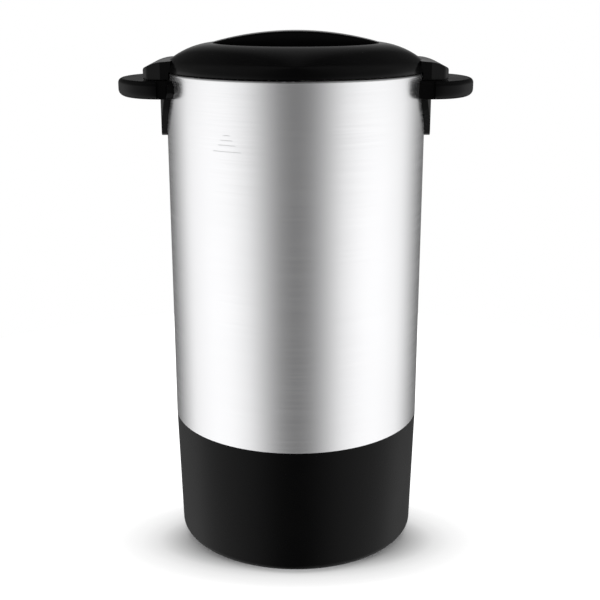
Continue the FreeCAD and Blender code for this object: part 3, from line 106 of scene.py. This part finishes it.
class Shader:
    """A node material with helpers that add and join nodes by name."""

    def __init__(self, name):
        self.material = bpy.data.materials.new(name)
        self.material.use_nodes = True
        self.tree = self.material.node_tree
        self.surface = self.tree.nodes["Principled BSDF"]
        self.coordinates = self.add("ShaderNodeTexCoord").outputs["Object"]

    def add(self, kind, **values):
        node = self.tree.nodes.new(kind)
        for key, value in values.items():
            setattr(node, key, value)
        return node

    def join(self, source, target):
        self.tree.links.new(source, target)

    def plain(self, **values):
        for key, value in values.items():
            self.surface.inputs[key.replace("_", " ")].default_value = value

    def stretched(self, scale):
        mapping = self.add("ShaderNodeMapping")
        mapping.inputs["Scale"].default_value = scale
        self.join(self.coordinates, mapping.inputs["Vector"])
        return mapping.outputs["Vector"]

    def noise(self, scale, detail=3.0, stretch=(1, 1, 1)):
        node = self.add("ShaderNodeTexNoise")
        node.inputs["Scale"].default_value = scale
        node.inputs["Detail"].default_value = detail
        self.join(self.stretched(stretch), node.inputs["Vector"])
        return node.outputs["Fac"]

    def ranged(self, value, low, high, start=0.3, end=0.7):
        node = self.add("ShaderNodeMapRange")
        node.inputs["From Min"].default_value = start
        node.inputs["From Max"].default_value = end
        node.inputs["To Min"].default_value = low
        node.inputs["To Max"].default_value = high
        self.join(value, node.inputs["Value"])
        return node.outputs["Result"]

    def colours(self, value, first, second):
        ramp = self.add("ShaderNodeValToRGB")
        ramp.color_ramp.elements[0].position = 0.3
        ramp.color_ramp.elements[1].position = 0.7
        ramp.color_ramp.elements[0].color = (*first, 1)
        ramp.color_ramp.elements[1].color = (*second, 1)
        self.join(value, ramp.inputs["Fac"])
        self.join(ramp.outputs["Color"], self.surface.inputs["Base Color"])

    def roughness(self, value, low, high):
        self.join(self.ranged(value, low, high), self.surface.inputs["Roughness"])

    def bump(self, value, depth, strength=1.0):
        node = self.add("ShaderNodeBump")
        node.inputs["Distance"].default_value = depth
        node.inputs["Strength"].default_value = strength
        self.join(value, node.inputs["Height"])
        self.join(node.outputs["Normal"], self.surface.inputs["Normal"])


def brushed_steel(name, colour, rough, streak):
    """Steel brushed round the urn: fine level streaks and broad faint cloudiness."""
    shader = Shader(name)
    shader.plain(Metallic=1.0, Anisotropic=0.35)
    lines = shader.noise(streak, 6.0, (1.0, 1.0, 60.0))
    cloud = shader.noise(9.0, 2.0)
    shader.colours(cloud, tuple(c * 0.97 for c in colour), colour)
    shader.roughness(lines, rough, rough + 0.07)
    shader.bump(lines, 0.00001, 0.35)
    return shader.material


def moulded_plastic(name, colour, rough, shine, grain_scale, grain_depth):
    """Black moulded plastic: slight haze in the gloss and a very fine surface grain."""
    shader = Shader(name)
    shader.plain(IOR=1.46, Specular_IOR_Level=shine)
    haze = shader.noise(35.0, 3.0)
    grain = shader.noise(grain_scale, 2.0)
    shader.colours(haze, tuple(c * 0.8 for c in colour), colour)
    shader.roughness(haze, rough, rough + 0.06)
    shader.bump(grain, grain_depth, 0.4)
    return shader.material


def soft_rubber(name, colour):
    shader = Shader(name)
    shader.plain(Specular_IOR_Level=0.35)
    speck = shader.noise(900.0, 3.0)
    shader.colours(speck, tuple(c * 0.75 for c in colour), colour)
    shader.roughness(speck, 0.55, 0.8)
    shader.bump(speck, 0.00005, 0.4)
    return shader.material


def bare_metal(name, colour, rough, depth=0.00003):
    """Drawn or turned metal with small uneven handling marks."""
    shader = Shader(name)
    shader.plain(Metallic=1.0)
    mottle = shader.noise(140.0, 4.0)
    shader.colours(mottle, tuple(c * 0.88 for c in colour), colour)
    shader.roughness(mottle, rough, rough + 0.12)
    shader.bump(mottle, depth, 0.3)
    return shader.material


def plated_chrome(name):
    shader = Shader(name)
    shader.plain(Metallic=1.0)
    film = shader.noise(60.0, 3.0)
    shader.colours(film, (0.78, 0.79, 0.80), (0.86, 0.86, 0.87))
    shader.roughness(film, 0.05, 0.11)
    return shader.material


def tube_glass(name):
    shader = Shader(name)
    shader.plain(Transmission_Weight=1.0, IOR=1.47)
    film = shader.noise(80.0, 2.0)
    shader.colours(film, (0.94, 0.96, 0.96), (0.98, 0.99, 0.99))
    shader.roughness(film, 0.0, 0.04)
    return shader.material


def indicator_lens(name):
    shader = Shader(name)
    shader.plain(Transmission_Weight=0.6, IOR=1.49)
    cells = shader.add("ShaderNodeTexVoronoi")
    cells.inputs["Scale"].default_value = 900.0
    shader.join(shader.coordinates, cells.inputs["Vector"])
    shader.colours(cells.outputs["Distance"], (0.62, 0.16, 0.02), (0.85, 0.34, 0.06))
    shader.roughness(cells.outputs["Distance"], 0.12, 0.25)
    shader.bump(cells.outputs["Distance"], 0.0001, 0.4)
    return shader.material


def glazed_ceramic(name, colour):
    shader = Shader(name)
    speck = shader.noise(260.0, 4.0)
    shader.colours(speck, tuple(c * 0.9 for c in colour), colour)
    shader.roughness(speck, 0.25, 0.42)
    shader.bump(speck, 0.00004, 0.3)
    return shader.material


MATERIALS = {
    "steel_body": brushed_steel("steel_body", STEEL, 0.2, 14.0),
    "black_gloss": moulded_plastic("black_gloss", BLACK, 0.14, 0.2, 1500.0, 0.000012),
    "black_satin": moulded_plastic("black_satin", BLACK, 0.24, 0.1, 1200.0, 0.00002),
    "rubber_dark": soft_rubber("rubber_dark", (0.025, 0.025, 0.026)),
    "silicone": soft_rubber("silicone", (0.70, 0.68, 0.64)),
    "chrome_trim": plated_chrome("chrome_trim"),
    "clear_glass": tube_glass("clear_glass"),
    "lens_amber": indicator_lens("lens_amber"),
    "aluminium_part": bare_metal("aluminium_part", (0.74, 0.74, 0.76), 0.3),
    "steel_parts": bare_metal("steel_parts", (0.62, 0.62, 0.64), 0.28),
    "brass_parts": bare_metal("brass_parts", (0.72, 0.55, 0.26), 0.25),
    "ceramic_white": glazed_ceramic("ceramic_white", (0.82, 0.81, 0.77)),
    "lead_insulation": soft_rubber("lead_insulation", (0.55, 0.08, 0.05)),
}


def dress_nodes():
    """Gives every CAD node the finish of its slot."""
    slots = {part["node"]: part["material_slot"] for part in RECORD["subparts"]}
    for name, node in NODES.items():
        node.data.materials.clear()
        node.data.materials.append(MATERIALS[slots[name]])


def finished(bm, name, body, slot):
    """Turns a bmesh into a smooth piece that rides on a body."""
    bmesh.ops.remove_doubles(bm, verts=bm.verts, dist=WELD_DISTANCE)
    bmesh.ops.recalc_face_normals(bm, faces=bm.faces)
    mesh = bpy.data.meshes.new(name)
    bm.to_mesh(mesh)
    bm.free()
    piece = bpy.data.objects.new(name, mesh)
    bpy.context.scene.collection.objects.link(piece)
    mesh.materials.append(MATERIALS[slot])
    mesh.shade_smooth()
    mesh.set_sharp_from_angle(angle=SHARP_ANGLE)
    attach(piece, body)
    return piece


def curved_bar(bm, radius, depth, low, high, start, end):
    """Adds a bar that follows the tank's wall between two angles in degrees."""
    corners = [(radius - depth, low), (radius, low + depth), (radius, high - depth), (radius - depth, high)]
    turn = Matrix.Rotation(math.radians(start), 4, "Z")
    verts = [bm.verts.new(turn @ Vector((r, 0, z))) for r, z in corners]
    face = bm.faces.new(verts)
    steps = max(4, int(end - start))
    bmesh.ops.spin(bm, geom=[face, *face.edges, *face.verts], cent=(0, 0, 0), axis=(0, 0, 1),
                   angle=math.radians(end - start), steps=steps, use_duplicate=False)


def level_mark():
    """Stamped fill mark: a long line with three short ones that widen upwards."""
    bm = bmesh.new()
    start, end = MARK_ANGLES
    middle = (start + end) / 2
    outer = BODY_RADIUS + MARK_PROUD
    depth = MARK_PROUD * 3
    low = RIM - MARK_DROP
    curved_bar(bm, outer, depth, low - MARK_HEIGHT / 2, low + MARK_HEIGHT / 2, start, end)
    for drop, span in zip(TICK_DROPS, TICK_SPANS):
        height = RIM - drop
        curved_bar(bm, outer, depth, height - MARK_HEIGHT / 2, height + MARK_HEIGHT / 2,
                   middle - span / 2, middle + span / 2)
    return finished(bm, "level_mark", "root", "steel_body")


def studio():
    """Round floor that takes the urn's shadow."""
    bm = bmesh.new()
    bmesh.ops.create_circle(bm, cap_ends=True, radius=FLOOR_RADIUS, segments=FLOOR_SIDES)
    mesh = bpy.data.meshes.new("studio_floor")
    bm.to_mesh(mesh)
    bm.free()
    floor = bpy.data.objects.new("studio_floor", mesh)
    bpy.context.scene.collection.objects.link(floor)
    mesh.materials.append(floor_material())


def floor_material():
    """White to the camera away from the urn, with a painted shadow darker in an oval round it, and clear to
    reflections.
    """
    shader = Shader("studio_floor")
    tree = shader.tree
    diffuse = shader.add("ShaderNodeBsdfDiffuse")
    diffuse.inputs["Color"].default_value = (FLOOR_COLOUR, FLOOR_COLOUR, FLOOR_COLOUR, 1)
    shift = shader.add("ShaderNodeVectorMath", operation="SUBTRACT")
    shift.inputs[1].default_value = SHADOW_CENTRE
    shader.join(shader.coordinates, shift.inputs[0])
    squeeze = shader.add("ShaderNodeVectorMath", operation="DIVIDE")
    squeeze.inputs[1].default_value = SHADOW_REACH
    shader.join(shift.outputs["Vector"], squeeze.inputs[0])
    oval = shader.add("ShaderNodeVectorMath", operation="LENGTH")
    shader.join(squeeze.outputs["Vector"], oval.inputs[0])
    # Painted shadow: a ramp over the oval dims the floor's camera-only glow round the urn's foot
    painted_shadow_ramp = shader.add("ShaderNodeValToRGB")
    fill_ramp(painted_shadow_ramp.color_ramp, SHADOW_FADE)
    shader.join(oval.outputs["Value"], painted_shadow_ramp.inputs["Fac"])
    path = shader.add("ShaderNodeLightPath")
    lift = shader.add("ShaderNodeMath", operation="MULTIPLY")
    shader.join(path.outputs["Is Camera Ray"], lift.inputs[0])
    shader.join(painted_shadow_ramp.outputs["Color"], lift.inputs[1])
    glow = shader.add("ShaderNodeEmission")
    shader.join(lift.outputs[0], glow.inputs["Strength"])
    both = shader.add("ShaderNodeAddShader")
    shader.join(diffuse.outputs[0], both.inputs[0])
    shader.join(glow.outputs[0], both.inputs[1])
    clear = shader.add("ShaderNodeBsdfTransparent")
    pick = shader.add("ShaderNodeMixShader")
    reflected = shader.add("ShaderNodeMath", operation="MAXIMUM")
    shader.join(path.outputs["Is Glossy Ray"], reflected.inputs[0])
    shader.join(path.outputs["Is Transmission Ray"], reflected.inputs[1])
    shader.join(reflected.outputs[0], pick.inputs[0])
    shader.join(both.outputs[0], pick.inputs[1])
    shader.join(clear.outputs[0], pick.inputs[2])
    shader.join(pick.outputs[0], tree.nodes["Material Output"].inputs["Surface"])
    tree.nodes.remove(shader.surface)
    return shader.material


def fill_ramp(ramp, stops):
    """Sets a colour ramp's greys from pairs of place and brightness."""
    ramp.elements[0].position, first = stops[0]
    ramp.elements[0].color = (first, first, first, 1)
    ramp.elements[1].position, last = stops[-1]
    ramp.elements[1].color = (last, last, last, 1)
    for place, level in stops[1:-1]:
        element = ramp.elements.new(place)
        element.color = (level, level, level, 1)


def surround():
    """World light: white to the camera, bright sides and a dim front to reflections, even to the rest."""
    world = bpy.data.worlds.new("surround")
    bpy.context.scene.world = world
    world.use_nodes = True
    tree = world.node_tree
    tree.nodes.clear()

    def node(kind, **values):
        made = tree.nodes.new(kind)
        for key, value in values.items():
            setattr(made, key, value)
        return made

    split = node("ShaderNodeSeparateXYZ")
    tree.links.new(node("ShaderNodeTexCoord").outputs["Generated"], split.inputs[0])
    side = node("ShaderNodeMath", operation="ABSOLUTE")
    tree.links.new(split.outputs["X"], side.inputs[0])
    angle = node("ShaderNodeMath", operation="ARCTAN2")
    tree.links.new(side.outputs[0], angle.inputs[0])
    tree.links.new(split.outputs["Y"], angle.inputs[1])
    share = node("ShaderNodeMath", operation="DIVIDE")
    share.inputs[1].default_value = math.pi
    tree.links.new(angle.outputs[0], share.inputs[0])
    round_ramp = node("ShaderNodeValToRGB")
    fill_ramp(round_ramp.color_ramp, SURROUND)
    tree.links.new(share.outputs[0], round_ramp.inputs[0])
    height = node("ShaderNodeMapRange")
    height.inputs["From Min"].default_value = -1.0
    tree.links.new(split.outputs["Z"], height.inputs["Value"])
    height_ramp = node("ShaderNodeValToRGB")
    fill_ramp(height_ramp.color_ramp, SURROUND_HEIGHT)
    tree.links.new(height.outputs["Result"], height_ramp.inputs[0])
    product = node("ShaderNodeMix", data_type="RGBA", blend_type="MULTIPLY")
    product.inputs["Factor"].default_value = 1.0
    tree.links.new(round_ramp.outputs["Color"], product.inputs[MIX_FIRST])
    tree.links.new(height_ramp.outputs["Color"], product.inputs[MIX_SECOND])
    seen = node("ShaderNodeLightPath")
    shown = node("ShaderNodeMix", data_type="RGBA")
    shown.inputs[MIX_FIRST].default_value = (SURROUND_SOFT, SURROUND_SOFT, SURROUND_SOFT, 1)
    tree.links.new(seen.outputs["Is Glossy Ray"], shown.inputs["Factor"])
    tree.links.new(product.outputs[MIXED], shown.inputs[MIX_SECOND])
    either = node("ShaderNodeMath", operation="MAXIMUM")
    tree.links.new(seen.outputs["Is Camera Ray"], either.inputs[0])
    tree.links.new(seen.outputs["Is Transmission Ray"], either.inputs[1])
    pick = node("ShaderNodeMix", data_type="RGBA")
    pick.inputs[MIX_SECOND].default_value = (1, 1, 1, 1)
    tree.links.new(either.outputs[0], pick.inputs["Factor"])
    tree.links.new(shown.outputs[MIXED], pick.inputs[MIX_FIRST])
    light = node("ShaderNodeBackground")
    tree.links.new(pick.outputs[MIXED], light.inputs["Color"])
    tree.links.new(light.outputs[0], node("ShaderNodeOutputWorld").inputs["Surface"])


def soft_lamp(name, place, aim, size, power):
    data = bpy.data.lights.new(name, "AREA")
    data.shape = "RECTANGLE"
    data.size, data.size_y = size
    data.energy = power
    lamp = bpy.data.objects.new(name, data)
    lamp.location = place
    lamp.rotation_mode = "QUATERNION"
    lamp.rotation_quaternion = (Vector(aim) - Vector(place)).to_track_quat("-Z", "Y")
    lamp.visible_glossy = False
    bpy.context.scene.collection.objects.link(lamp)


def lamps():
    soft_lamp("left_lamp", (1.5, 0.35, 1.2), (0, 0, 0.2), (0.8, 1.2), 9.0)
    soft_lamp("right_lamp", (-1.5, 0.35, 1.2), (0, 0, 0.2), (0.8, 1.2), 9.0)
    soft_lamp("top_lamp", (0.0, -0.5, 1.7), (0, 0, 0.2), (1.2, 0.8), 8.0)
    soft_lamp("front_fill", (0.0, -1.6, 1.0), (0, 0, 0.2), (1.4, 0.9), 6.0)


def camera():
    """Camera at the photograph's height, distance and tilt, on the side away from the tap."""
    data = bpy.data.cameras.new("camera")
    data.sensor_width = SENSOR_WIDTH
    data.lens = CAMERA_LENS
    data.clip_start = VIEW_NEAR
    data.clip_end = VIEW_FAR
    view = bpy.data.objects.new("camera", data)
    pitch, yaw = CAMERA_PITCH, CAMERA_YAW
    ahead = Vector((-math.sin(yaw) * math.cos(pitch), -math.cos(yaw) * math.cos(pitch), -math.sin(pitch)))
    view.location = (0, CAMERA_DISTANCE * BODY_RADIUS, RIM + CAMERA_RISE * BODY_RADIUS)
    view.rotation_mode = "QUATERNION"
    view.rotation_quaternion = ahead.to_track_quat("-Z", "Y")
    bpy.context.scene.collection.objects.link(view)
    bpy.context.scene.camera = view


dress_nodes()
level_mark()
studio()
surround()
lamps()
camera()
bpy.context.scene.view_settings.view_transform = "Standard"
